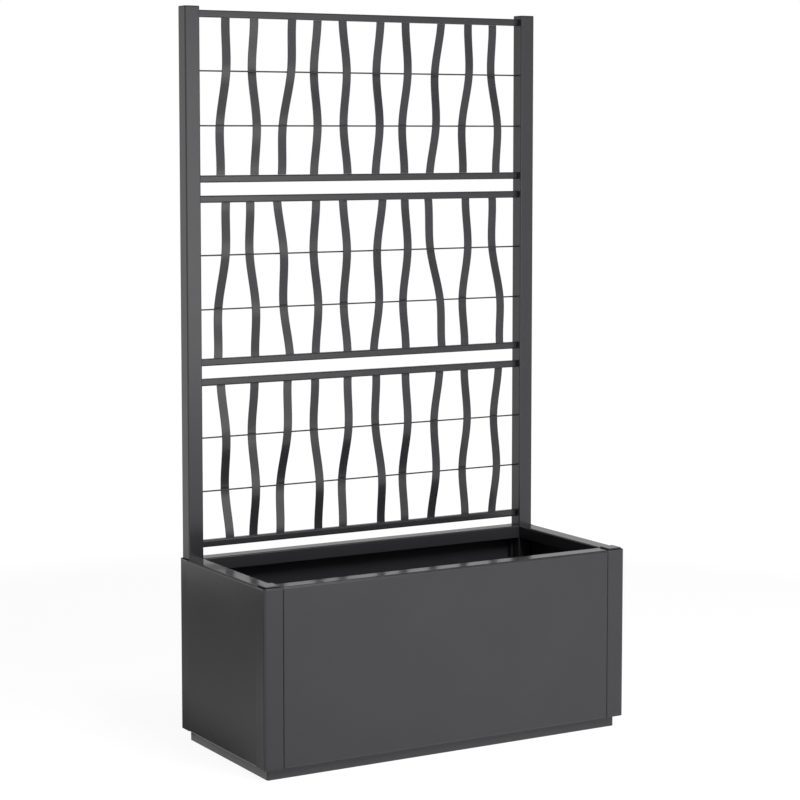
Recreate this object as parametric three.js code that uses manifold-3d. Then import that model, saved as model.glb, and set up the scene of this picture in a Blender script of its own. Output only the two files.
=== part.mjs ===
// A powder-coated steel planter box with a tall trellis standing in its two rear corners.
// Units are millimetres, +Z is up. The origin is on the ground under the middle of the box;
// the front of the box faces -Y and its long side lies along X.
import * as THREE from 'three';
import { mergeVertices } from 'three/addons/utils/BufferGeometryUtils.js';
import Module from 'manifold-3d';

const wasm = await Module();
wasm.setup();

// ---------------------------------------------------------------- driving dimensions
// Box
const BOX_WIDTH = 800;
const BOX_DEPTH = 361;
const RIM_HEIGHT = 359; // top of the folded rim above the ground
const UNDERSIDE = 22.5; // lower edge of the four walls above the ground
const SHEET = 1.2; // wall sheet
const RIM_REACH = 34; // width of the rim that is folded inwards
const RIM_LIP = 25; // height of the lip that is folded down from the rim
const RIM_BEND = 4; // outer radius of the fold between wall and rim
const LIP_BEND = 2.4; // outer radius of the fold between rim and lip
const FOOT_FLANGE = 18; // flange folded inwards at the lower edge of a wall
const CORNER_FLANGE = 39; // part of a side wall that is folded round onto the front or rear
const CORNER_BEND = 6; // outer radius of the upright corners
const SEAM_RETURN = 15; // flanges that meet back to back behind a seam
const SEAM_GAP = 0.6;
const CORNER_EDGE_DROP = 0.5; // the bare sheet edge at a corner lies this far below the rim

// Posts and their caps
const POST = 31; // outer size of the square tube
const POST_WALL = 1.5;
const POST_ROUNDING = 2.5;
const POST_INSET = 4; // from the outer face of the box to the post
const CAP_PLATE = 2.5; // part of a cap that shows above its post
const CAP_EDGE = 0.8; // rounding of the plate's edges
const PLUG_DEPTH = 12;
const PLUG_CLEARANCE = 0.25;

// Base tray: floor of the box and recessed plinth in one folded sheet
const TRAY_SHEET = 1.5;
const TRAY_INSET_SIDE = 12.5;
const TRAY_INSET_FRONT = 15;
const TRAY_CORNER = 4;
const TRAY_HEM = 14; // edge folded inwards on the ground
const DRAIN_HOLE = 12;
const DRAIN_COLUMNS = 3;
const DRAIN_ROWS = 2;
const DRAIN_PITCH_X = 240;
const DRAIN_PITCH_Y = 150;

// Trellis
const LOWEST_RAIL_ABOVE_RIM = 18.2;
const PANEL_HEIGHT = 329.2; // outside to outside of the two rails of a panel
const PANEL_GAP = 24.8;
const POST_ABOVE_RAIL = 6.7; // post top, cap included, above the highest rail
const RAIL = 14;
const RAIL_FROM_REAR = 2.5; // rear of the rails in front of the rear face of the posts
const RAIL_WALL = 1.2;
const RAIL_ROUNDING = 1.5;
const WIRE = 3;
const UPPER_WIRE_DROP = 115.5; // from the top of a panel
const LOWER_WIRE_DROP = 220.2;
const STRIP_WIDTH = 17.8;
const STRIP_THICKNESS = 2.5;
const STRIP_WAVE = 10.2; // how far a strip bows out at a wire
const END_STRIP_INSET = 60; // from a post to the even place of the outermost strip
const JOINT_GAP = 0.2; // left at every butt joint and seat

// The strips lean a little, each its own way, as hand-laid wattle does. Each entry is one
// strip, from left to right: how far its [top, bottom] lies to the right of its even place,
// in strip widths.
const PANELS = [
  {
    name: 'lower',
    strips: [
      [-0.6, 0.4], [-0.3, -0.55], [0, -1], [-0.35, 0], [0, -0.65],
      [-0.1, 0.5], [-0.05, -0.15], [0.7, -0.45], [0.25, 0.4], [1.15, 0.3],
    ],
  },
  {
    name: 'middle',
    strips: [
      [0.15, -0.9], [-0.7, -0.2], [-1.2, 0.3], [-0.15, -0.25], [-0.55, 0],
      [0.75, -0.4], [-0.15, 0], [-0.85, 1], [0.35, 0.3], [0.2, 1.3],
    ],
  },
  {
    name: 'upper',
    strips: [
      [0.25, -0.45], [-0.1, -0.15], [0.75, -0.6], [0.1, -0.4], [-0.55, 0.05],
      [0.5, -0.15], [-0.05, -0.2], [0.85, -0.65], [0.65, 0], [0.15, 0.7],
    ],
  },
];

// Smoothness
const BEND_STEPS = 4; // facets in a quarter turn of a fold
const TUBE_CORNER_STEPS = 3;
const WIRE_SIDES = 10;
const WAVE_STEPS = 8; // facets of a strip between a rail and a wire, or between the wires
const HOLE_STEPS = 8; // facets in a quarter of a drain hole

// ---------------------------------------------------------------- worked-out dimensions
const halfWidth = BOX_WIDTH / 2;
const halfDepth = BOX_DEPTH / 2;
const postOuterX = halfWidth - POST_INSET;
const postInnerX = postOuterX - POST;
const postOuterY = halfDepth - POST_INSET;
const postInnerY = postOuterY - POST;
const trellisFoot = RIM_HEIGHT + LOWEST_RAIL_ABOVE_RIM;
const panelPitch = PANEL_HEIGHT + PANEL_GAP;
const trellisHead = trellisFoot + PANELS.length * panelPitch - PANEL_GAP;
const totalHeight = trellisHead + POST_ABOVE_RAIL;
const trayTop = UNDERSIDE - JOINT_GAP;
const postFoot = trayTop + JOINT_GAP;
const railMiddleY = postOuterY - RAIL_FROM_REAR - RAIL / 2;

// ---------------------------------------------------------------- materials
const powderCoat = new THREE.MeshStandardMaterial({
  name: 'powder_coat', color: 0x55565a, roughness: 0.42, metalness: 0.25,
});
const capPlastic = new THREE.MeshStandardMaterial({
  name: 'cap_plastic', color: 0x4a4b4e, roughness: 0.5, metalness: 0,
});

// ---------------------------------------------------------------- solids
// Turns a closed three.js geometry into a solid that can be joined and cut.
function solidOf(geometry) {
  const bare = geometry.clone();
  bare.deleteAttribute('normal');
  bare.deleteAttribute('uv');
  const merged = mergeVertices(bare, 1e-5);
  return new wasm.Manifold(new wasm.Mesh({
    numProp: 3,
    vertProperties: new Float32Array(merged.attributes.position.array),
    triVerts: new Uint32Array(merged.index.array),
  }));
}

function geometryOf(solid) {
  const { vertProperties, triVerts } = solid.getMesh();
  const geometry = new THREE.BufferGeometry();
  geometry.setAttribute('position', new THREE.BufferAttribute(vertProperties, 3));
  geometry.setIndex(new THREE.BufferAttribute(triVerts, 1));
  geometry.computeVertexNormals();
  return geometry;
}

function join(geometries) {
  return geometryOf(geometries.map(solidOf).reduce((whole, piece) => whole.add(piece)));
}

function cut(geometry, tool) {
  return geometryOf(solidOf(geometry).subtract(solidOf(tool)));
}

// A box between two opposite corners, each given as [x, y, z].
function boxBetween(low, high) {
  const size = high.map((value, axis) => value - low[axis]);
  const middle = high.map((value, axis) => (value + low[axis]) / 2);
  return new THREE.BoxGeometry(...size).translate(...middle);
}

// The three ways in which an outline is carried along a straight line.
function alongZ(shape, from, to, curveSegments = BEND_STEPS) {
  const settings = { depth: to - from, bevelEnabled: false, curveSegments };
  return new THREE.ExtrudeGeometry(shape, settings).translate(0, 0, from);
}

// The outline's second coordinate becomes the height; its first becomes x.
function alongY(shape, from, to) {
  const turn = new THREE.Matrix4().makeBasis(
    new THREE.Vector3(1, 0, 0), new THREE.Vector3(0, 0, 1), new THREE.Vector3(0, -1, 0),
  );
  return alongZ(shape, -to, -from).applyMatrix4(turn);
}

// The outline's second coordinate becomes the height; its first becomes y.
function alongX(shape, from, to, curveSegments = BEND_STEPS) {
  const turn = new THREE.Matrix4().makeBasis(
    new THREE.Vector3(0, 1, 0), new THREE.Vector3(0, 0, 1), new THREE.Vector3(1, 0, 0),
  );
  return alongZ(shape, from, to, curveSegments).applyMatrix4(turn);
}

// ---------------------------------------------------------------- outlines
// A band of even thickness around a line of stations, each a point with its normal.
function bandShape(stations, thickness) {
  const side = (sign) => stations.map(
    ({ point, normal }) => point.clone().addScaledVector(normal, sign * thickness / 2),
  );
  return new THREE.Shape([...side(1), ...side(-1).reverse()]);
}

const leftOf = (direction) => new THREE.Vector2(-direction.y, direction.x);

// The edge-on outline of a sheet with square folds. Each corner is [a, b, outer radius] on the
// middle line of the sheet, and the first and the last are its free edges.
function foldedSheet(corners, thickness) {
  const points = corners.map(([a, b]) => new THREE.Vector2(a, b));
  const stations = [];
  points.forEach((point, i) => {
    const arriving = i > 0 ? point.clone().sub(points[i - 1]).normalize() : null;
    const leaving = i < points.length - 1
      ? points[i + 1].clone().sub(point).normalize() : null;
    if (!arriving || !leaving) {
      stations.push({ point, normal: leftOf(arriving ?? leaving) });
      return;
    }
    const radius = corners[i][2] - thickness / 2;
    const turn = Math.sign(arriving.cross(leaving));
    const normal = leftOf(arriving);
    const centre = point.clone().addScaledVector(arriving, -radius)
      .addScaledVector(normal, turn * radius);
    for (let step = 0; step <= BEND_STEPS; step += 1) {
      const turned = normal.clone().rotateAround(
        new THREE.Vector2(), turn * (Math.PI / 2) * (step / BEND_STEPS),
      );
      stations.push({
        point: centre.clone().addScaledVector(turned, -turn * radius), normal: turned,
      });
    }
  });
  return bandShape(stations, thickness);
}

function roundedRectangle(width, depth, radius, path = new THREE.Shape()) {
  const x = width / 2 - radius;
  const y = depth / 2 - radius;
  path.absarc(x, y, radius, 0, Math.PI / 2);
  path.absarc(-x, y, radius, Math.PI / 2, Math.PI);
  path.absarc(-x, -y, radius, Math.PI, Math.PI * 1.5);
  path.absarc(x, -y, radius, Math.PI * 1.5, Math.PI * 2);
  return path;
}

function squareTube(size, wall, rounding) {
  const shape = roundedRectangle(size, size, rounding);
  const bore = size - 2 * wall;
  const boreRounding = Math.max(rounding - wall, wall / 4);
  shape.holes.push(roundedRectangle(bore, bore, boreRounding, new THREE.Path()));
  return shape;
}

// ---------------------------------------------------------------- box walls
// Section of a wall: foot flange, wall, rim and lip. `outer` is the outer face and `inwards`
// is +1 or -1, the direction from it into the box.
function wallSection(outer, inwards) {
  const at = (reach) => outer + inwards * reach;
  const middle = SHEET / 2;
  return foldedSheet([
    [at(FOOT_FLANGE), UNDERSIDE + middle],
    [at(middle), UNDERSIDE + middle, LIP_BEND],
    [at(middle), RIM_HEIGHT - middle, RIM_BEND],
    [at(RIM_REACH - middle), RIM_HEIGHT - middle, LIP_BEND],
    [at(RIM_REACH - middle), RIM_HEIGHT - RIM_LIP],
  ], SHEET);
}

// The rim and lip alone, started behind the outer fold.
function rimSection(outer, inwards) {
  const at = (reach) => outer + inwards * reach;
  const middle = SHEET / 2;
  return foldedSheet([
    [at(RIM_BEND), RIM_HEIGHT - middle],
    [at(RIM_REACH - middle), RIM_HEIGHT - middle, LIP_BEND],
    [at(RIM_REACH - middle), RIM_HEIGHT - RIM_LIP],
  ], SHEET);
}

// A side wall is one sheet that wraps round both upright corners. Its rim runs from post to
// post; at the corners the sheet ends in a bare edge beside the cap.
function sidePanel(side) {
  const middle = SHEET / 2;
  const wallX = side * (halfWidth - middle);
  const wallY = halfDepth - middle;
  const seamX = side * (halfWidth - CORNER_FLANGE + middle);
  const returnY = halfDepth - SEAM_RETURN;
  const wrap = foldedSheet([
    [seamX, -returnY],
    [seamX, -wallY, LIP_BEND],
    [wallX, -wallY, CORNER_BEND],
    [wallX, wallY, CORNER_BEND],
    [seamX, wallY, LIP_BEND],
    [seamX, returnY],
  ], SHEET);
  const wallTop = RIM_HEIGHT - CORNER_EDGE_DROP;
  const rimRun = postInnerY - JOINT_GAP;
  const underRim = RIM_HEIGHT - RIM_BEND;
  const rimSpace = boxBetween([-BOX_WIDTH, -rimRun, underRim], [BOX_WIDTH, rimRun, RIM_HEIGHT]);
  const seamSpace = boxBetween(
    [-postInnerX, -halfDepth + SHEET, underRim - SHEET],
    [postInnerX, halfDepth - SHEET, RIM_HEIGHT],
  );
  const corners = cut(cut(alongZ(wrap, UNDERSIDE, wallTop), rimSpace), seamSpace);
  return join([corners, alongY(wallSection(side * halfWidth, -side), -rimRun, rimRun)]);
}

// The front and rear walls fill the space between the corner flanges of the side walls.
// Their rims run on behind the flanges to the posts.
function longPanel(side) {
  const end = halfWidth - CORNER_FLANGE - SEAM_GAP;
  const outer = side * halfDepth;
  const rimEnd = postInnerX - JOINT_GAP;
  const pieces = [
    alongX(wallSection(outer, -side), -end, end),
    alongX(rimSection(outer, -side), -rimEnd, rimEnd),
  ];
  [-1, 1].forEach((hand) => {
    const xs = [hand * (end - SHEET), hand * end].sort((a, b) => a - b);
    const ys = [outer, outer - side * SEAM_RETURN].sort((a, b) => a - b);
    pieces.push(boxBetween([xs[0], ys[0], UNDERSIDE + FOOT_FLANGE],
      [xs[1], ys[1], RIM_HEIGHT - RIM_BEND - SHEET]));
  });
  return join(pieces);
}

// ---------------------------------------------------------------- base tray
function baseTray() {
  const width = BOX_WIDTH - 2 * TRAY_INSET_SIDE;
  const depth = BOX_DEPTH - 2 * TRAY_INSET_FRONT;
  const outline = () => roundedRectangle(width, depth, TRAY_CORNER);
  const opening = (reach) => roundedRectangle(
    width - 2 * reach, depth - 2 * reach, TRAY_CORNER - TRAY_SHEET, new THREE.Path(),
  );
  const floor = outline();
  for (let column = 0; column < DRAIN_COLUMNS; column += 1) {
    for (let row = 0; row < DRAIN_ROWS; row += 1) {
      const x = (column - (DRAIN_COLUMNS - 1) / 2) * DRAIN_PITCH_X;
      const y = (row - (DRAIN_ROWS - 1) / 2) * DRAIN_PITCH_Y;
      floor.holes.push(new THREE.Path().absarc(x, y, DRAIN_HOLE / 2, 0, Math.PI * 2));
    }
  }
  const skirt = outline();
  skirt.holes.push(opening(TRAY_SHEET));
  const hem = outline();
  hem.holes.push(opening(TRAY_HEM));
  return join([
    alongZ(floor, trayTop - TRAY_SHEET, trayTop, HOLE_STEPS),
    alongZ(skirt, 0, trayTop, BEND_STEPS),
    alongZ(hem, 0, TRAY_SHEET, BEND_STEPS),
  ]);
}

// ---------------------------------------------------------------- posts and caps
function post(length) {
  return alongZ(squareTube(POST, POST_WALL, POST_ROUNDING), 0, length, TUBE_CORNER_STEPS);
}

// Push-in cap: a plate with softened edges over a plug that fits the bore of the post.
// It is drawn with the underside of its plate at height 0.
function postCap() {
  const plate = new THREE.ExtrudeGeometry(roundedRectangle(POST, POST, POST_ROUNDING), {
    depth: CAP_PLATE - 2 * CAP_EDGE,
    bevelThickness: CAP_EDGE,
    bevelSize: CAP_EDGE,
    bevelOffset: -CAP_EDGE,
    bevelSegments: 2,
    curveSegments: TUBE_CORNER_STEPS,
  }).translate(0, 0, CAP_EDGE);
  const plugSize = POST - 2 * POST_WALL - 2 * PLUG_CLEARANCE;
  const plugRounding = POST_ROUNDING - POST_WALL + PLUG_CLEARANCE;
  const plug = alongZ(roundedRectangle(plugSize, plugSize, plugRounding),
    -PLUG_DEPTH, CAP_EDGE, TUBE_CORNER_STEPS);
  return join([plate, plug]);
}

// ---------------------------------------------------------------- trellis pieces
function rail() {
  const end = postInnerX - JOINT_GAP;
  return alongX(squareTube(RAIL, RAIL_WALL, RAIL_ROUNDING), -end, end, TUBE_CORNER_STEPS);
}

function wire() {
  const length = 2 * (postInnerX - JOINT_GAP);
  return new THREE.CylinderGeometry(WIRE / 2, WIRE / 2, length, WIRE_SIDES)
    .rotateZ(Math.PI / 2);
}

// The line that a springy strip takes when its ends are held square in the rails and the two
// wires push it to opposite sides: one cubic from each knot to the next, with no kink in
// slope or bend. `weave` is -1 for a strip that passes in front of the upper wire and +1 for
// one that passes behind it. Returns points of [depth behind the rails' middle, height].
function wovenLine(weave) {
  const heights = [
    RAIL + JOINT_GAP,
    PANEL_HEIGHT - LOWER_WIRE_DROP,
    PANEL_HEIGHT - UPPER_WIRE_DROP,
    PANEL_HEIGHT - RAIL - JOINT_GAP,
  ];
  const depths = [0, -weave * STRIP_WAVE, weave * STRIP_WAVE, 0];
  const spans = [0, 1, 2].map((i) => heights[i + 1] - heights[i]);
  const rises = [0, 1, 2].map((i) => (depths[i + 1] - depths[i]) / spans[i]);
  const pull = [0, 1].map((i) => 3 * (spans[i + 1] * rises[i] + spans[i] * rises[i + 1]));
  const stiff = [0, 1].map((i) => 2 * (spans[i] + spans[i + 1]));
  const whole = stiff[0] * stiff[1] - spans[0] * spans[2];
  const slopes = [
    0,
    (pull[0] * stiff[1] - pull[1] * spans[0]) / whole,
    (pull[1] * stiff[0] - pull[0] * spans[2]) / whole,
    0,
  ];
  const points = [new THREE.Vector2(depths[0], heights[0])];
  spans.forEach((span, i) => {
    for (let step = 1; step <= WAVE_STEPS; step += 1) {
      const t = step / WAVE_STEPS;
      const [s, tt] = [1 - t, t * t];
      const depth = depths[i] * s * s * (1 + 2 * t) + depths[i + 1] * tt * (3 - 2 * t)
        + span * t * s * (slopes[i] * s - slopes[i + 1] * t);
      points.push(new THREE.Vector2(depth, heights[i] + t * span));
    }
  });
  return points;
}

// A strip between two rails, drawn with the panel's foot at height 0: its edge-on outline is
// carried across its width and then leant sideways.
function strip([topX, bottomX], weave) {
  const points = wovenLine(weave);
  const stations = points.map((point, i) => {
    const isEnd = i === 0 || i === points.length - 1;
    const along = isEnd
      ? new THREE.Vector2(0, 1) : points[i + 1].clone().sub(points[i - 1]).normalize();
    return { point, normal: leftOf(along) };
  });
  const blank = alongX(bandShape(stations, STRIP_THICKNESS), -STRIP_WIDTH / 2, STRIP_WIDTH / 2);
  const lean = (topX - bottomX) / (PANEL_HEIGHT - 2 * RAIL);
  const shear = new THREE.Matrix4().set(
    1, 0, lean, bottomX - lean * RAIL,
    0, 1, 0, 0,
    0, 0, 1, 0,
    0, 0, 0, 1,
  );
  return blank.applyMatrix4(shear);
}

// ---------------------------------------------------------------- assembly
const planter = new THREE.Group();

function add(parent, name, geometry, material, [x, y, z] = [0, 0, 0]) {
  const mesh = new THREE.Mesh(geometry, material);
  mesh.name = name;
  mesh.position.set(x, y, z);
  parent.add(mesh);
  return mesh;
}

add(planter, 'base_tray', baseTray(), powderCoat);
add(planter, 'side_panel_left', sidePanel(-1), powderCoat);
add(planter, 'side_panel_right', sidePanel(1), powderCoat);
add(planter, 'front_panel', longPanel(-1), powderCoat);
add(planter, 'rear_panel', longPanel(1), powderCoat);

const postX = (postOuterX + postInnerX) / 2;
const postY = (postOuterY + postInnerY) / 2;
[
  { row: 'front', y: -postY, head: RIM_HEIGHT },
  { row: 'rear', y: postY, head: totalHeight - CAP_PLATE - JOINT_GAP },
].forEach(({ row, y, head }) => {
  [['left', -postX], ['right', postX]].forEach(([hand, x]) => {
    const capUnderside = head + JOINT_GAP;
    add(planter, `${row}_post_${hand}`, post(head - postFoot), powderCoat, [x, y, postFoot]);
    add(planter, `${row}_post_cap_${hand}`, postCap(), capPlastic, [x, y, capUnderside]);
  });
});

PANELS.forEach(({ name, strips }, index) => {
  const panel = new THREE.Group();
  panel.position.z = trellisFoot + index * panelPitch;
  planter.add(panel);
  [['bottom', RAIL / 2], ['top', PANEL_HEIGHT - RAIL / 2]].forEach(([end, z]) => {
    add(panel, `${name}_rail_${end}`, rail(), powderCoat, [0, railMiddleY, z]);
  });
  [['upper', UPPER_WIRE_DROP], ['lower', LOWER_WIRE_DROP]].forEach(([level, drop]) => {
    const z = PANEL_HEIGHT - drop;
    add(panel, `${name}_panel_${level}_wire`, wire(), powderCoat, [0, railMiddleY, z]);
  });
  const outermost = postInnerX - END_STRIP_INSET;
  strips.forEach((shifts, i) => {
    const evenPlace = THREE.MathUtils.lerp(-outermost, outermost, i / (strips.length - 1));
    const ends = shifts.map((shift) => evenPlace + shift * STRIP_WIDTH);
    const weave = i % 2 === 0 ? -1 : 1;
    const label = String(i + 1).padStart(2, '0');
    add(panel, `${name}_strip_${label}`, strip(ends, weave), powderCoat, [0, railMiddleY, 0]);
  });
});

export default planter;
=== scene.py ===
# %% [markdown]
# # A planter with a trellis
#
# The object is a long box of folded sheet steel on a recessed plinth. A tall trellis stands in its two rear corners:
# two square posts, six square rails, six wires and thirty flat strips that are woven round the wires.
#
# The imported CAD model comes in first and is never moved. Each piece apart from the base tray is then made again as a
# finer surface, with the soft folds and edges that the real steel has. It takes its place and its size from the CAD
# node that it stands for.

import math

import bpy
import numpy as np
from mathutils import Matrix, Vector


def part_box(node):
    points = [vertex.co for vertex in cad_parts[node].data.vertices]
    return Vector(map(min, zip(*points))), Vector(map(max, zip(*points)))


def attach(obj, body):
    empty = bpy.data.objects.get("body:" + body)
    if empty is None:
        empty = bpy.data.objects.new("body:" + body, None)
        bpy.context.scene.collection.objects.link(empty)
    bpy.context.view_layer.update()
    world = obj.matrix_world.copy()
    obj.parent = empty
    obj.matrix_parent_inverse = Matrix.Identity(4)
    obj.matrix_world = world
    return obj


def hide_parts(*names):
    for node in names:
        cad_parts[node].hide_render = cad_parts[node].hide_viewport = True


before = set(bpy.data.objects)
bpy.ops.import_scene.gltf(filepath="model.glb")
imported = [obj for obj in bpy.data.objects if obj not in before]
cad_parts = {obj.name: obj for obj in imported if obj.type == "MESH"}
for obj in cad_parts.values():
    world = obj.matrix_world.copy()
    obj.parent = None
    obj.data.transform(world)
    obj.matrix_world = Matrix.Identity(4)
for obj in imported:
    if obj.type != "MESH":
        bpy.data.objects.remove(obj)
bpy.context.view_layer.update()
MM = 0.001  # one millimetre, in Blender's metres


def node_box(node):
    """Lowest and highest corner of a CAD node, in millimetres, as two arrays."""
    low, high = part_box(node)
    return np.array(low) / MM, np.array(high) / MM


print("CAD nodes:", len(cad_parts))

# %% [markdown]
# ## The camera
#
# The photograph looks at the planter from its front left and from the height of the upper panel, through a long lens.
# Its upright edges are upright in the picture, as after a lens has been shifted. A level camera with a large shift
# could do the same. One that dips by five degrees and shifts less was chosen: its picture is the same to within a few
# pixels, and the object stays nearer the middle of the frame when the camera is moved round it.

# %% Camera
CAMERA_PLACE = (-2.2342, -3.8007, 1.1814)  # metres
CAMERA_TURN = 30.338  # degrees to the right of straight towards the rear
CAMERA_DIP = 5.0  # degrees below level
CAMERA_LENS, CAMERA_SENSOR = 102.31, 36  # mm
CAMERA_SHIFT = -0.0858  # parts of the picture's width
CAMERA_REACH = 60  # metres

camera_data = bpy.data.cameras.new("camera")
camera_data.sensor_width = CAMERA_SENSOR
camera_data.lens = CAMERA_LENS
camera_data.shift_y = CAMERA_SHIFT
camera_data.clip_end = CAMERA_REACH
camera = bpy.data.objects.new("camera", camera_data)
camera.location = CAMERA_PLACE
camera.rotation_euler = (math.radians(90 - CAMERA_DIP), 0, -math.radians(CAMERA_TURN))
bpy.context.scene.collection.objects.link(camera)
bpy.context.scene.camera = camera
bpy.context.scene.view_settings.view_transform = "Standard"
print("camera at", CAMERA_PLACE)

# %% [markdown]
# ## Helpers for node trees
#
# A material is a small graph. Each node is made by its type, given its plain numbers, and its inputs are joined to the
# outputs of earlier nodes. One helper does this, and the others are short names for the nodes that are used most, so
# that a material below reads as a list of what is done in turn.

# %% Helpers for node trees
def add_node(tree, kind, links=None, **settings):
    """Adds a node. settings are its properties; links maps an input's name or index to a value or an earlier output."""
    node = tree.nodes.new(kind)
    for key, value in settings.items():
        setattr(node, key, value)
    for key, value in (links or {}).items():
        if isinstance(value, bpy.types.NodeSocket):
            tree.links.new(value, node.inputs[key])
        else:
            node.inputs[key].default_value = value
    return node


def start_material(name):
    """A material with an empty node tree. Returns it and the tree."""
    material = bpy.data.materials.new(name)
    material.use_nodes = True
    material.node_tree.nodes.clear()
    return material, material.node_tree


def maths(tree, operation, *values):
    """One step of arithmetic on plain numbers and earlier outputs."""
    return add_node(tree, "ShaderNodeMath", dict(enumerate(values)), operation=operation).outputs[0]


def ramp(tree, value, start, end, low=0.0, high=1.0):
    """Straight from low to high while the value goes from start to end, and level outside."""
    links = {"Value": value, "From Min": start, "From Max": end, "To Min": low, "To Max": high}
    return add_node(tree, "ShaderNodeMapRange", links).outputs["Result"]


def noise(tree, place, scale, detail, roughness=0.5):
    """A noise pattern with `scale` features to the metre. Each step of detail adds features of half the size."""
    links = {"Vector": place, "Scale": scale, "Detail": detail, "Roughness": roughness}
    return add_node(tree, "ShaderNodeTexNoise", links).outputs["Fac"]


print("helpers for node trees:", ", ".join(f.__name__ for f in (add_node, start_material, maths, ramp, noise)))

# %% [markdown]
# ## The powder coat
#
# Every steel piece has the same baked powder coat, a satin anthracite. Powder melts into a film that is nearly
# smooth: it keeps a very fine orange-peel ripple, its gloss drifts a little from place to place, and its colour is
# even. A picture of such a coat could be wrapped round the pieces, but it would stretch on some and repeat on others.
# Noise that fills space fits any shape. So the colour hardly varies, the roughness drifts over a hand's breadth and
# also over a few millimetres, and a bump of about a millimetre across breaks up the reflections.

# %% The powder coat
COAT_COLOUR = (0.033, 0.033, 0.037)
COAT_IOR = 1.45
COAT_GLOSS = (0.16, 0.22)  # roughness where the film is smoothest and where it is dullest
PEEL_SIZE, PEEL_DEPTH = 1.3, 0.003  # mm from one ripple to the next, and from crest to trough
TONE_DRIFT = (0.96, 1.04)  # the colour's share where it is darkest and where it is palest
GLOSS_GRAIN = 0.006  # how far the roughness goes up and down from one grain to the next
DRIFT_SCALE, GRAIN_SCALE = 7, 220  # slow patches to the metre, and fine grains
NOISE_RANGE = (0.3, 0.7)  # where nearly all of a noise pattern's values lie


def satin_coat(name, colour, gloss, ripple_size, ripple_depth):
    """Paint. Its colour is multiplied by a slow noise, its roughness is the same noise and a little of a finer one,
    and the finest noise raises the surface by up to ripple_depth."""
    material, tree = start_material(name)
    place = add_node(tree, "ShaderNodeTexCoord").outputs["Object"]
    drift = noise(tree, place, DRIFT_SCALE, detail=3)
    grain = noise(tree, place, GRAIN_SCALE, detail=1)
    ripple = noise(tree, place, 1 / (ripple_size * MM), detail=1, roughness=0.4)
    cloud = ramp(tree, drift, *NOISE_RANGE, *TONE_DRIFT)
    tone = add_node(tree, "ShaderNodeVectorMath", {0: colour, "Scale": cloud}, operation="SCALE").outputs[0]
    slow = ramp(tree, drift, *NOISE_RANGE, *gloss)
    fine = ramp(tree, grain, *NOISE_RANGE, -GLOSS_GRAIN, GLOSS_GRAIN)
    rough = maths(tree, "ADD", slow, fine)
    bump = add_node(tree, "ShaderNodeBump", {"Height": ripple, "Strength": 1.0, "Distance": ripple_depth * MM})
    links = {"Base Color": tone, "Roughness": rough, "Normal": bump.outputs[0], "IOR": COAT_IOR}
    paint = add_node(tree, "ShaderNodeBsdfPrincipled", links)
    add_node(tree, "ShaderNodeOutputMaterial", {"Surface": paint.outputs[0]})
    return material


powder_coat = satin_coat("powder_coat", COAT_COLOUR, COAT_GLOSS, PEEL_SIZE, PEEL_DEPTH)
print("nodes in the powder coat:", len(powder_coat.node_tree.nodes))

# %% [markdown]
# ## The cap plastic and the tray's coat
#
# The posts are closed by push-in caps. They are moulded plastic in the coat's colour and gloss, with the finer and
# deeper grain that a spark-eroded mould leaves. The base tray's coat is a little paler and duller than the rest; its
# paler colour is partly its own and partly painted light, standing in for the brighter light on the plinth's side.
# Each could have a graph of its own, but they differ only in their numbers, so the same function makes all three.

# %% The cap plastic and the tray's coat
CAP_GRAIN_SIZE, CAP_GRAIN_DEPTH = 0.6, 0.004  # mm
# paler than the steel's coat: partly the tray's own paint, partly painted light that brightens the plinth's side
TRAY_COLOUR_WITH_PAINTED_LIGHT = (0.045, 0.045, 0.050)
TRAY_GLOSS = (0.30, 0.36)
cap_plastic = satin_coat("cap_plastic", COAT_COLOUR, COAT_GLOSS, CAP_GRAIN_SIZE, CAP_GRAIN_DEPTH)
# the tray's coat, whose paler colour is partly painted light on the plinth's side
tray_coat_with_painted_light = satin_coat("tray_coat_with_painted_light", TRAY_COLOUR_WITH_PAINTED_LIGHT, TRAY_GLOSS, PEEL_SIZE, PEEL_DEPTH)

MATERIALS = {"powder_coat": powder_coat, "cap_plastic": cap_plastic, "tray_coat_with_painted_light": tray_coat_with_painted_light}
print("materials:", ", ".join(MATERIALS))

# %% [markdown]
# ## Surfaces on a grid
#
# Every piece is a block of points in rows and columns. Neighbouring points make a four-sided face, and where the
# rows or the columns run round the piece, the last one joins the first. The faces are worked out once for the whole
# block with array arithmetic. Several closed blocks can make one piece, as where a sheet has been welded together.
#
# Blender's bevel and solidify modifiers could round and thicken simpler meshes instead. Points were chosen because
# they put each edge exactly where it belongs and leave a closed surface of a known size.


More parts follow.
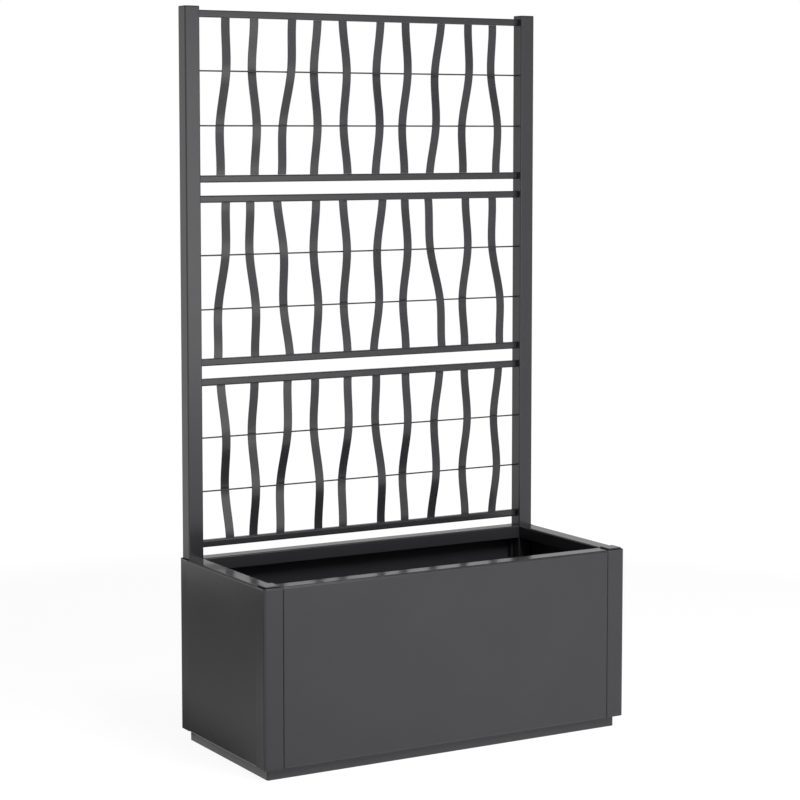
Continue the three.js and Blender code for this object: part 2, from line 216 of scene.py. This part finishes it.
# %% Surfaces on a grid
def block(points, round_rows=False, thin=False):
    """A closed surface from points[row, column]. Face (r, c) joins rows r, r+1 and columns c, c+1, wrapped where they
    run round. Open ends get one flat face each, or on thin sheet a row of faces from side to side. All the faces are
    turned over if the volume inside, the sum of corner . (corner x corner) over their triangles, isn't positive."""
    points = np.asarray(points, float)
    rows, columns = points.shape[:2]
    r = np.arange(rows if round_rows else rows - 1)[:, None]
    c = np.arange(columns)[None, :]
    down, across = (r + 1) % rows, (c + 1) % columns
    corners = (r * columns + c, down * columns + c, down * columns + across, r * columns + across)
    quads = np.stack([np.broadcast_to(k, (r.size, c.size)) for k in corners], -1).reshape(-1, 4)
    last_row = (rows - 1) * columns
    ends = []
    if thin:
        i = np.arange(columns // 2 - 1)
        cap = np.stack([i, i + 1, columns - 2 - i, columns - 1 - i], -1)
        quads = np.concatenate([quads, cap, cap[:, ::-1] + last_row])
    elif not round_rows:
        ends = [np.arange(columns), np.arange(columns)[::-1] + last_row]
    flat = points.reshape(-1, 3)
    triangles = [quads[:, [0, 1, 2]], quads[:, [0, 2, 3]]]
    triangles += [np.stack([np.full(columns - 2, e[0]), e[1:-1], e[2:]], -1) for e in ends]
    a, b, d = (flat[np.concatenate(triangles)[:, k]] for k in range(3))
    turn = 1 if np.einsum("ij,ij->", a, np.cross(b, d)) > 0 else -1
    return flat, [face[::turn] for face in quads.tolist() + [e.tolist() for e in ends]]


cube = block([[(0, 0, z), (1, 0, z), (1, 1, z), (0, 1, z)] for z in (0, 1)])
print("a cube as a block:", len(cube[0]), "points and", len(cube[1]), "faces")

# %% From blocks to an object
CRISP_ANGLE = 38  # degrees between two faces above which the edge between them is shaded as a sharp one


def make_piece(name, blocks, nodes, slot="powder_coat"):
    """Puts closed blocks, in millimetres, into one mesh that replaces CAD nodes and rides on the planter."""
    points, faces, used = [], [], 0
    for block_points, block_faces in blocks:
        points.append(block_points * MM)
        faces.extend([[i + used for i in face] for face in block_faces])
        used += len(block_points)
    mesh = bpy.data.meshes.new(name)
    mesh.from_pydata(np.concatenate(points).tolist(), [], faces)
    mesh.polygons.foreach_set("use_smooth", np.ones(len(mesh.polygons), bool))
    mesh.set_sharp_from_angle(angle=math.radians(CRISP_ANGLE))
    mesh.materials.append(MATERIALS[slot])
    mesh.update()
    piece = bpy.data.objects.new(name, mesh)
    bpy.context.scene.collection.objects.link(piece)
    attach(piece, "root")
    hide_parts(*nodes)
    return piece


print("edges are crisp above", CRISP_ANGLE, "degrees")

# %% [markdown]
# ## Lines with soft corners
#
# Folded sheet, square tube and moulded caps all have outlines of straight runs and quarter turns. The helper walks
# along such a line. At each turn it lays an arc, and just before and after the arc it adds one more point. Without
# these, smooth shading would smear the light of the turn over the whole flat beside it. A bevel modifier with hardened
# normals would do this too, but with one radius for a whole piece, and here most pieces have several.

# %% Lines with soft corners
ARC_STEPS = 8
HOLD = 0.6  # mm from an arc to the point that keeps the flat beside it flat


def soft_line(corners, closed=False):
    """corners are (a, b, radius). Returns points and unit normals (to the left of the way) as two arrays: at a corner
    the arc's centre lies a radius back along the way in and a radius to the side that the line turns to."""
    spots = np.array([c[:2] for c in corners], float)
    radii = [c[2] if len(c) > 2 else 0.0 for c in corners]
    points, normals = [], []
    count = len(spots)
    for i, spot in enumerate(spots):
        open_end = not closed and i in (0, count - 1)
        way_in = spot - spots[i - 1] if closed or i > 0 else spots[1] - spot
        way_out = spots[(i + 1) % count] - spot if closed or i < count - 1 else way_in
        way_in, way_out = way_in / np.linalg.norm(way_in), way_out / np.linalg.norm(way_out)
        left = np.array([-way_in[1], way_in[0]])
        if open_end:
            points.append(spot[None])
            normals.append(left[None])
            continue
        turn = np.sign(way_in[0] * way_out[1] - way_in[1] * way_out[0])
        radius = radii[i]
        centre = spot - way_in * radius + left * turn * radius
        angle = np.linspace(0, math.pi / 2, ARC_STEPS + 1)[:, None] * turn
        side = left * np.cos(angle) - way_in * np.sin(angle)
        arc = centre - side * turn * radius
        before, after = arc[0] - way_in * HOLD, arc[-1] + way_out * HOLD
        points.append(np.vstack([before, arc, after]))
        normals.append(np.vstack([side[0], side, side[-1]]))
    return np.vstack(points), np.vstack(normals)


def square_loop(half_x, half_y, radius):
    """A rectangle with rounded corners about the origin, as a closed line of points."""
    corners = [(half_x, -half_y), (half_x, half_y), (-half_x, half_y), (-half_x, -half_y)]
    return soft_line([(x, y, radius) for x, y in corners], closed=True)[0]


print("points on a rounded square:", len(square_loop(10, 10, 2)))

# %% Setting a line across an axis
AXES = {"x": (1, 2, 0), "y": (0, 2, 1), "z": (0, 1, 2)}


def stand(loop, along, position):
    """Sets a flat line of points across one axis of space at a position on it: a and b become the other two axes."""
    first, second, third = AXES[along]
    out = np.empty((len(loop), 3))
    out[:, first], out[:, second], out[:, third] = loop[:, 0], loop[:, 1], position
    return out


print("first point of a square at x = 5:", stand(square_loop(10, 10, 2), "x", 5)[0].round(2))

# %% [markdown]
# ## Posts and rails
#
# Both are welded square tube. Its corners are rounded, because the tube is rolled, and the light runs down those
# rounded corners as a thin line. A bevelled box would look the same from the side, but solid where a tube has been
# cut. So the tube is a ring of four loops of points, the outside at both ends and the bore at both ends, joined all
# the way round, and its wall has its real thickness.

# %% Posts and rails
POST_WALL, POST_ROUNDING = 1.5, 2.5  # mm
RAIL_WALL, RAIL_ROUNDING = 1.2, 2.8
LEAST_BORE_ROUNDING = 0.3


def square_tube(node, along, wall, rounding):
    """Outer and inner rounded squares at both ends of the node's box, joined outside, over the end, inside and back."""
    low, high = node_box(node)
    first, second, third = AXES[along]
    middle = (low + high)[[first, second]] / 2
    half = (high - low)[[first, second]] / 2
    outer = square_loop(half[0], half[1], rounding) + middle
    bore = square_loop(half[0] - wall, half[1] - wall, max(rounding - wall, LEAST_BORE_ROUNDING)) + middle
    start, end = low[third], high[third]
    loops = [(outer, start), (outer, end), (bore, end), (bore, start)]
    return block(np.stack([stand(loop, along, at) for loop, at in loops]), round_rows=True)


for row in ("front", "rear"):
    for hand in ("left", "right"):
        node = f"{row}_post_{hand}"
        make_piece(f"{node}_tube", [square_tube(node, "z", POST_WALL, POST_ROUNDING)], [node])

for level in ("lower", "middle", "upper"):
    for end in ("bottom", "top"):
        node = f"{level}_rail_{end}"
        make_piece(f"{node}_tube", [square_tube(node, "x", RAIL_WALL, RAIL_ROUNDING)], [node])
print("posts and rails made:", 4 + 6)

# %% [markdown]
# ## Post caps
#
# A cap is a thin plate with softened edges and a plug below it. Two bevelled boxes could stand for them, but their
# faces would be doubled where they meet. So the cap is one stack of rounded squares, from the foot of the plug up to
# the top of the plate: each has its own half size, corner radius and height.

# %% Post caps
CAP_PLATE, CAP_EDGE = 2.5, 0.8  # mm
PLUG_INSET, PLUG_ROUNDING = 1.75, 1.25
LEAST_CAP_ROUNDING = 0.4
CAP_EDGE_STEPS = 4


def cap_block(node):
    """Rings from the plug's foot to the plate's top; the plate's edges follow quarter circles of radius CAP_EDGE."""
    low, high = node_box(node)
    middle, half = (low + high)[:2] / 2, (high - low)[:2] / 2
    underside = high[2] - CAP_PLATE
    rings = [(PLUG_INSET, PLUG_ROUNDING, low[2]), (PLUG_INSET, PLUG_ROUNDING, underside)]
    turn = np.linspace(0, math.pi / 2, CAP_EDGE_STEPS + 1)
    for angle in turn:
        rings.append((CAP_EDGE * (1 - math.sin(angle)), POST_ROUNDING, underside + CAP_EDGE * (1 - math.cos(angle))))
    for angle in turn:
        rings.append((CAP_EDGE * (1 - math.cos(angle)), POST_ROUNDING, high[2] - CAP_EDGE * (1 - math.sin(angle))))
    rings.append((CAP_EDGE + HOLD, POST_ROUNDING, high[2]))
    loops = []
    for inset, radius, height in rings:
        corner = max(radius - inset, LEAST_CAP_ROUNDING)
        loops.append(stand(square_loop(half[0] - inset, half[1] - inset, corner) + middle, "z", height))
    return block(np.stack(loops))


for row in ("front", "rear"):
    for hand in ("left", "right"):
        node = f"{row}_post_cap_{hand}"
        make_piece(f"{node}_moulding", [cap_block(node)], [node], slot="cap_plastic")
print("caps made:", 4)

# %% [markdown]
# ## Wires
#
# Two round wires cross each panel from post to post. Blender's usual wire is a curve with a round bevel. A circle of
# points carried along X has the same shape, and it is a mesh like every other piece.

# %% Wires
WIRE_SIDES = 20


def wire_block(node):
    """A circle of the node's height across X, at both ends of the node."""
    low, high = node_box(node)
    radius = (high[2] - low[2]) / 2
    middle = (low + high)[1:] / 2
    angle = np.linspace(0, 2 * math.pi, WIRE_SIDES, endpoint=False)
    loop = np.stack([np.cos(angle), np.sin(angle)], -1) * radius + middle
    return block(np.stack([stand(loop, "x", low[0]), stand(loop, "x", high[0])]))


wire_heights = {}
for level in ("lower", "middle", "upper"):
    for place in ("lower", "upper"):
        node = f"{level}_panel_{place}_wire"
        low, high = node_box(node)
        wire_heights[level, place] = (low[2] + high[2]) / 2
        make_piece(f"{node}_line", [wire_block(node)], [node])
print("wires at", {k: round(float(v), 1) for k, v in wire_heights.items()})

# %% [markdown]
# ## Woven strips
#
# A strip is flat bar, 18 mm wide and 2.5 mm thick. Seen from the front it is straight and leans a little; seen from
# the side it weaves, because the two wires push it to opposite sides. It could be drawn along a curve by hand. But a
# springy strip that is held square at both ends takes the line of least bending, and that line has a formula: one
# cubic between each two knots, with slope and bend running on through them. The strip's section is a rectangle with
# slightly rounded corners, carried along that line square to it.

# %% The strip's line
STRIP_THICKNESS, STRIP_CORNER = 2.5, 0.5  # mm
STRIP_STATIONS = 14  # between two knots
END_REACH, WIRE_REACH = 0.1, 4  # mm in height within which a CAD point counts as at a strip's end or at a wire


def springy_line(knot_heights, knot_depths):
    """Depth and slope against height: cubic pieces with level ends. The slopes m1, m2 at the inner knots solve
    2(h0+h1)m1 + h0 m2 = 3(h1 r0 + h0 r1) and h2 m1 + 2(h1+h2)m2 = 3(h2 r1 + h1 r2), with spans h and rises r."""
    z, d = np.array(knot_heights, float), np.array(knot_depths, float)
    h = np.diff(z)
    r = np.diff(d) / h
    left = [[2 * (h[0] + h[1]), h[0]], [h[2], 2 * (h[1] + h[2])]]
    right = [3 * (h[1] * r[0] + h[0] * r[1]), 3 * (h[2] * r[1] + h[1] * r[2])]
    m = np.concatenate([[0], np.linalg.solve(left, right), [0]])
    t = np.linspace(0, 1, STRIP_STATIONS + 1)[:, None]
    heights = z[:-1] + t * h
    depths = (
        d[:-1] * (1 + 2 * t) * (1 - t) ** 2
        + d[1:] * t**2 * (3 - 2 * t)
        + h * m[:-1] * t * (1 - t) ** 2
        - h * m[1:] * t**2 * (1 - t)
    )
    keep = np.ones((STRIP_STATIONS + 1, 3), bool)
    keep[0, 1:] = False
    heights, depths = heights.T[keep.T], depths.T[keep.T]
    return heights, depths, np.gradient(depths, heights)


trial = springy_line([0, 115, 220, 335], [0, -10, 10, 0])  # mm, about as in the upper panel
print("stations on a strip:", len(trial[0]), "and its steepest slope:", round(float(np.abs(trial[2]).max()), 3))

# %% The strips
def strip_block(node, level):
    """Section (w, s) with w across and s through the strip, at station (depth, height) with unit normal
    (cos, -sin) of its slope: x = lean line + w, y = depth + s cos, z = height - s sin."""
    points = np.empty(len(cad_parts[node].data.vertices) * 3, np.float32)
    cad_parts[node].data.vertices.foreach_get("co", points)
    points = points.reshape(-1, 3) / MM
    low, high = points.min(0), points.max(0)
    foot, head = points[points[:, 2] < low[2] + END_REACH], points[points[:, 2] > high[2] - END_REACH]
    width = np.ptp(foot[:, 0])
    foot_x, head_x = (foot[:, 0].min() + foot[:, 0].max()) / 2, (head[:, 0].min() + head[:, 0].max()) / 2
    rail_depth = (foot[:, 1].min() + foot[:, 1].max()) / 2
    knots = [low[2], wire_heights[level, "lower"], wire_heights[level, "upper"], high[2]]
    near_upper = points[np.abs(points[:, 2] - knots[2]) < WIRE_REACH]
    wave = (near_upper[:, 1].min() + near_upper[:, 1].max()) / 2 - rail_depth
    heights, depths, slopes = springy_line(knots, [0, -wave, wave, 0])
    section = square_loop(width / 2, STRIP_THICKNESS / 2, STRIP_CORNER)
    w, s = section[:, 0][None, :], section[:, 1][None, :]
    cosine = (1 / np.hypot(1, slopes))[:, None]
    sine = slopes[:, None] * cosine
    lean = (head_x - foot_x) / (high[2] - low[2])
    z = heights[:, None] - s * sine
    grid = np.stack([foot_x + lean * (z - low[2]) + w, rail_depth + depths[:, None] + s * cosine, z], -1)
    return block(grid)


strip_count = 0
for level in ("lower", "middle", "upper"):
    for number in range(1, 11):
        node = f"{level}_strip_{number:02d}"
        make_piece(f"{node}_bar", [strip_block(node, level)], [node])
        strip_count += 1
print("strips made:", strip_count)

# %% [markdown]
# ## Folded sheet
#
# The box is sheet steel that has been folded on a press. Each fold is a soft bend, and the coat rounds off the bare
# edges a little, so that these catch a thin line of light. A box could be thickened with a solidify modifier, but
# then every bend would be equally sharp, and there would be no seams. So the middle line of the sheet is drawn as a
# line with soft corners, given the sheet's thickness and carried straight along one axis.

# %% Folded sheet
SHEET = 1.2  # mm, the thickness of every wall
EDGE_EASE = 0.35  # mm, the radius of a sheet's bare edges under their coat
EASE_STEPS = 3


def folded_block(corners, along, start, end, flush=()):
    """Folded sheet whose middle line is `corners`, carried straight from start to end. The edges at the line's "first"
    and "last" point and at "start" and "end" are eased, apart from those that meet more of the same sheet and are
    named in `flush`: at r(1 - sin t) from an edge, the half thickness is less by r(1 - cos t)."""
    turn = np.linspace(0, math.pi / 2, EASE_STEPS + 1)
    eased = (EDGE_EASE * (1 - np.sin(turn)), EDGE_EASE * (1 - np.cos(turn)))
    square = (np.zeros(1), np.zeros(1))
    first, last, low, high = (square if edge in flush else eased for edge in ("first", "last", "start", "end"))
    line, normal = soft_line(corners)
    onward, backward = line[1] - line[0], line[-2] - line[-1]
    head = line[0] + np.outer(first[0][::-1], onward / np.linalg.norm(onward))
    tail = line[-1] + np.outer(last[0], backward / np.linalg.norm(backward))
    normal = np.vstack([np.tile(normal[0], (len(head), 1)), normal[1:-1], np.tile(normal[-1], (len(tail), 1))])
    thinner = np.concatenate([first[1][::-1], np.zeros(len(line) - 2), last[1]])
    line = np.vstack([head, line[1:-1], tail])
    way = np.sign(end - start)
    places = np.concatenate([start + way * low[0][::-1], end - way * high[0]])
    rows = []
    for place, shrink in zip(places, np.concatenate([low[1][::-1], high[1]])):
        half = (SHEET / 2 - np.maximum(thinner, shrink))[:, None]
        rows.append(stand(np.vstack([line + normal * half, (line - normal * half)[::-1]]), along, place))
    return block(np.stack(rows), thin=True)


print("sheet:", SHEET, "mm thick, its bare edges eased by", EDGE_EASE, "mm")

# %% [markdown]
# ## Box walls
#
# Each wall is folded from one sheet. Its section is a foot flange, the wall, the rim folded inwards and a lip folded
# down from the rim. The side walls also wrap round the upright corners and end in a seam on the front and on the
# rear. There they are carried upwards instead, with the corner's own soft fold, and end in a bare edge by the cap.
# One block can't run along two axes, so each wall is put together from several blocks that meet flush.

# %% Sizes of the folds
# All in mm. The bends are outer radii; a fold's middle line turns half a sheet tighter.
RIM_REACH, RIM_LIP = 34, 25
RIM_BEND, LIP_BEND, CORNER_BEND, SEAM_BEND = 4, 2.4, 6, 1.7
FOOT_FLANGE, CORNER_FLANGE, SEAM_RETURN = 18, 39, 15
SEAM_GAP, CORNER_EDGE_DROP, JOINT_GAP = 0.6, 0.5, 0.2
half_sheet = SHEET / 2
side_low, side_high = node_box("side_panel_right")
half_width, half_depth = side_high[0], side_high[1]
underside = side_low[2]
rim_height = side_high[2]
post_low, post_high = node_box("front_post_right")
post_inner_x, post_inner_y = post_low[0], -post_high[1]
print("box in mm:", round(2 * half_width, 1), "x", round(2 * half_depth, 1), "rim", round(rim_height, 1))


def wall_section(outer, inwards):
    """Foot flange, wall, rim and lip on the sheet's middle line, from the outer face inwards."""

    def at(reach):
        return outer + inwards * reach

    return [
        (at(FOOT_FLANGE), underside + half_sheet),
        (at(half_sheet), underside + half_sheet, LIP_BEND - half_sheet),
        (at(half_sheet), rim_height - half_sheet, RIM_BEND - half_sheet),
        (at(RIM_REACH - half_sheet), rim_height - half_sheet, LIP_BEND - half_sheet),
        (at(RIM_REACH - half_sheet), rim_height - RIM_LIP),
    ]


# %% Side walls
return_top = rim_height - RIM_BEND - SHEET  # the flanges behind a seam end under the rim


def corner_blocks(side, end):
    """The sheet's way round one upright corner, in plan: seam flange, front or rear flange, corner, side wall. The
    seam flange stops under the rim of the neighbouring wall; the rest goes on up to the bare edge."""
    wall_x, wall_y = side * (half_width - half_sheet), end * (half_depth - half_sheet)
    seam_x = side * (half_width - CORNER_FLANGE + half_sheet)
    stop_y = end * (post_inner_y - JOINT_GAP)
    whole = [
        (seam_x, end * (half_depth - SEAM_RETURN)),
        (seam_x, wall_y, SEAM_BEND - half_sheet),
        (wall_x, wall_y, CORNER_BEND - half_sheet),
        (wall_x, stop_y),
    ]
    above = [(seam_x - side * half_sheet, wall_y), *whole[2:]]
    return [
        folded_block(whole, "z", underside, return_top, flush=("last", "end")),
        folded_block(above, "z", return_top, rim_height - CORNER_EDGE_DROP, flush=("last", "start")),
    ]


for hand, side in (("left", -1), ("right", 1)):
    node = f"side_panel_{hand}"
    run = post_inner_y - JOINT_GAP
    blocks = [folded_block(wall_section(side * half_width, -side), "y", -run, run, flush=("start", "end"))]
    for end in (-1, 1):
        blocks += corner_blocks(side, end)
    make_piece(f"{node}_sheet", blocks, [node])
print("side walls made: 2")


# %% Front and rear walls
def seam_blocks(outer, side, hand):
    """One end of a front or rear wall: in plan, the soft fold back into the seam; above it, the wall's last strip
    under the rim; and the rim and its lip alone, from the seam to the post."""
    end = half_width - CORNER_FLANGE - SEAM_GAP
    fold_start = end - SEAM_BEND - 2 * HOLD
    wall_y = outer - side * half_sheet
    fold = [
        (hand * fold_start, wall_y),
        (hand * (end - half_sheet), wall_y, SEAM_BEND - half_sheet),
        (hand * (end - half_sheet), outer - side * SEAM_RETURN),
    ]
    section = wall_section(outer, -side)
    upper = [(wall_y, return_top), *section[2:]]
    rim = [(outer - side * RIM_BEND, rim_height - half_sheet), *section[3:]]
    rim_end = post_inner_x - JOINT_GAP
    return fold_start, [
        folded_block(fold, "z", underside, return_top, flush=("first", "end")),
        folded_block(upper, "x", hand * fold_start, hand * end, flush=("first", "start", "end")),
        folded_block(rim, "x", hand * end, hand * rim_end, flush=("start",)),
    ]


for node, side in (("front_panel", -1), ("rear_panel", 1)):
    outer = side * half_depth
    stop, left_blocks = seam_blocks(outer, side, -1)
    stop, right_blocks = seam_blocks(outer, side, 1)
    middle = folded_block(wall_section(outer, -side), "x", -stop, stop, flush=("start", "end"))
    make_piece(f"{node}_sheet", [middle, *left_blocks, *right_blocks], [node])
print("front and rear walls made: 2")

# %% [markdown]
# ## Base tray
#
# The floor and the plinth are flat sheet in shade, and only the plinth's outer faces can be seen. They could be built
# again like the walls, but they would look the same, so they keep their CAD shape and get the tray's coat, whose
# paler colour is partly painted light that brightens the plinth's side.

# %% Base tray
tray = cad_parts["base_tray"]
tray.data.materials.clear()
tray.data.materials.append(tray_coat_with_painted_light)
print("tray faces:", len(tray.data.polygons))

# %% [markdown]
# ## Floor
#
# The photograph's ground is plain white. The floor is pale and takes light as any matt surface does. Where it is
# looked at, most of its white is its own light, so that it runs into the white background without an edge and still
# shows the planter's soft shadow. The steel doesn't mirror all of this white: a shaded sector lies to the left of the
# planter and behind its left end. Its front edge starts at the front wall's plane and slants back a little, it turns
# white further off, and the ground close to the walls, which the plinth mirrors, is white too.

# %% Floor
FLOOR_SIZE = 24.0  # metres
FLOOR_COLOUR = (0.8, 0.8, 0.8)
OWN_WHITE = 0.93  # the floor's own white near the planter where it is looked at; it grows to 1 further off
SHADOW_SHARE = 0.12  # the matt part that comes on top and darkens where a shadow falls
FRONT_EDGE, LEFT_EDGE = 0.18, 0.35  # metres from the middle to where the mirrored ground's shaded sector starts
EDGE_SLANT = 0.4  # metres that the sector's front edge goes back for each metre beyond the left wall
EDGE_FADE = 0.06  # metres over which the shade sets in
WHITE_FROM, WHITE_TO = 1.8, 2.4  # metres from the planter over which the shaded sector turns white
STRIP_REACH, STRIP_FADE = 0.02, 0.01  # metres from the walls over which the ground stays white, and its soft edge

half_floor = FLOOR_SIZE / 2
floor_mesh = bpy.data.meshes.new("floor")
floor_corners = [(-half_floor, -half_floor, 0), (half_floor, -half_floor, 0)]
floor_corners += [(half_floor, half_floor, 0), (-half_floor, half_floor, 0)]
floor_mesh.from_pydata(floor_corners, [], [(0, 1, 2, 3)])
floor = bpy.data.objects.new("floor", floor_mesh)
bpy.context.scene.collection.objects.link(floor)
print("floor", FLOOR_SIZE, "m wide")


# %% The floor's material
def seen_directly(tree, gloss):
    """1 for rays from the camera or through glass, `gloss` for rays off a glossy surface, 0 for gathered light."""
    ray = add_node(tree, "ShaderNodeLightPath").outputs
    direct = maths(tree, "MAXIMUM", ray["Is Camera Ray"], ray["Is Transmission Ray"])
    return maths(tree, "MAXIMUM", direct, maths(tree, "MULTIPLY", ray["Is Glossy Ray"], gloss))


floor_material, tree = start_material("floor")
place = add_node(tree, "ShaderNodeTexCoord").outputs["Object"]
away = add_node(tree, "ShaderNodeVectorMath", {0: place}, operation="LENGTH").outputs["Value"]
far = ramp(tree, away, WHITE_FROM, WHITE_TO)
own = ramp(tree, far, 0.0, 1.0, OWN_WHITE, 1.0)
x, y, _ = add_node(tree, "ShaderNodeSeparateXYZ", {0: place}).outputs
# what the steel mirrors is white where at least one of these four is: far, in_front, to_right, beside
past_left = maths(tree, "MAXIMUM", maths(tree, "MULTIPLY_ADD", x, -1.0, -half_width * MM), 0.0)
slanted = maths(tree, "MULTIPLY_ADD", past_left, -EDGE_SLANT, y)
in_front = ramp(tree, slanted, -FRONT_EDGE, -FRONT_EDGE - EDGE_FADE)
to_right = ramp(tree, x, -LEFT_EDGE, -LEFT_EDGE + EDGE_FADE)
beyond_x = maths(tree, "SUBTRACT", maths(tree, "ABSOLUTE", x), half_width * MM)
beyond_y = maths(tree, "SUBTRACT", maths(tree, "ABSOLUTE", y), half_depth * MM)
beyond = maths(tree, "MAXIMUM", beyond_x, beyond_y)
beside = ramp(tree, beyond, STRIP_REACH, STRIP_REACH - STRIP_FADE)
mirrored = far
for part in (in_front, to_right, beside):
    mirrored = maths(tree, "MAXIMUM", mirrored, part)
lit = add_node(tree, "ShaderNodeBsdfDiffuse", {"Color": (*FLOOR_COLOUR, 1)}).outputs[0]
share = add_node(tree, "ShaderNodeBsdfDiffuse", {"Color": (SHADOW_SHARE,) * 3 + (1,)}).outputs[0]
glow = add_node(tree, "ShaderNodeEmission", {"Strength": own}).outputs[0]
white = add_node(tree, "ShaderNodeAddShader", {0: share, 1: glow}).outputs[0]
mixed = add_node(tree, "ShaderNodeMixShader", {0: seen_directly(tree, mirrored), 1: lit, 2: white}).outputs[0]
add_node(tree, "ShaderNodeOutputMaterial", {"Surface": mixed})
floor_mesh.materials.append(floor_material)
print("nodes in the floor's material:", len(tree.nodes))

# %% [markdown]
# ## Light
#
# The surroundings are white where they are looked at. The steel mirrors them white at the horizon, greyer above it
# and dark overhead, and they give an even, weak light. Most of the light comes from a high softbox in front. A tall
# and a low softbox at the front right are what the posts, rails and strips mirror. They stand where the trellis
# mirrors more of them on its left than on its right. A lamp overhead lights the ground in front, which throws some
# light up at the front wall. A picture of a studio all round would give such reflections too, but a few greys and
# four lamps do it without a picture, and each can be moved or dimmed by itself.

# %% The surroundings
WORLD_LIGHT = 0.18  # where 1 is white
SKY = ((0.02, 1.0), (0.10, 0.7), (0.30, 0.6), (0.60, 0.1))  # a ray's upward part, and how white it is mirrored

world = bpy.data.worlds.new("white_surroundings")
bpy.context.scene.world = world
world.use_nodes = True
tree = world.node_tree
tree.nodes.clear()
ray_way = add_node(tree, "ShaderNodeTexCoord").outputs["Generated"]
rise = add_node(tree, "ShaderNodeSeparateXYZ", {0: ray_way}).outputs[2]
mirrored = 1.0
for (start, before), (end, after) in zip(SKY, SKY[1:]):
    step = ramp(tree, rise, start, end, 1.0, after / before)
    mirrored = maths(tree, "MULTIPLY", mirrored, step)
strength = maths(tree, "MAXIMUM", seen_directly(tree, mirrored), WORLD_LIGHT)
sky = add_node(tree, "ShaderNodeBackground", {"Color": (1, 1, 1, 1), "Strength": strength}).outputs[0]
add_node(tree, "ShaderNodeOutputWorld", {"Surface": sky})
print("light of the surroundings:", WORLD_LIGHT)

# %% Lamps
# places, aims and sizes in metres; a spread of 180 degrees is a plain softbox, a smaller one has a grid before it
LAMPS = {
    "tall_softbox": {"place": (1.25, -3.45, 1.9), "aim": (0, 0.1, 1.9), "size": (1.4, 3.8), "watts": 13, "spread": 180},
    "low_softbox": {"place": (0.95, -3.4, 0.9), "aim": (0, 0.1, 0.9), "size": (1.2, 1.2), "watts": 6, "spread": 180},
    "high_softbox": {"place": (0.2, -3.2, 3.4), "aim": (0, 0, 0.5), "size": (1.4, 1.4), "watts": 115, "spread": 180},
    "floor_lamp": {"place": (0.4, -1.25, 2.2), "aim": (0.35, -1.15, 0), "size": (1, 1), "watts": 12, "spread": 90},
}

for name, facts in LAMPS.items():
    lamp_data = bpy.data.lights.new(name, "AREA")
    lamp_data.shape = "RECTANGLE"
    lamp_data.size, lamp_data.size_y = facts["size"]
    lamp_data.energy = facts["watts"]
    lamp_data.spread = math.radians(facts["spread"])
    lamp = bpy.data.objects.new(name, lamp_data)
    lamp.location = facts["place"]
    back = np.array(facts["place"]) - np.array(facts["aim"])
    heading = math.atan2(back[0], -back[1])
    tilt = math.atan2(back[2], math.hypot(back[0], back[1]))
    lamp.rotation_euler = (math.pi / 2 - tilt, 0, heading)
    bpy.context.scene.collection.objects.link(lamp)
print("lamps:", ", ".join(LAMPS))
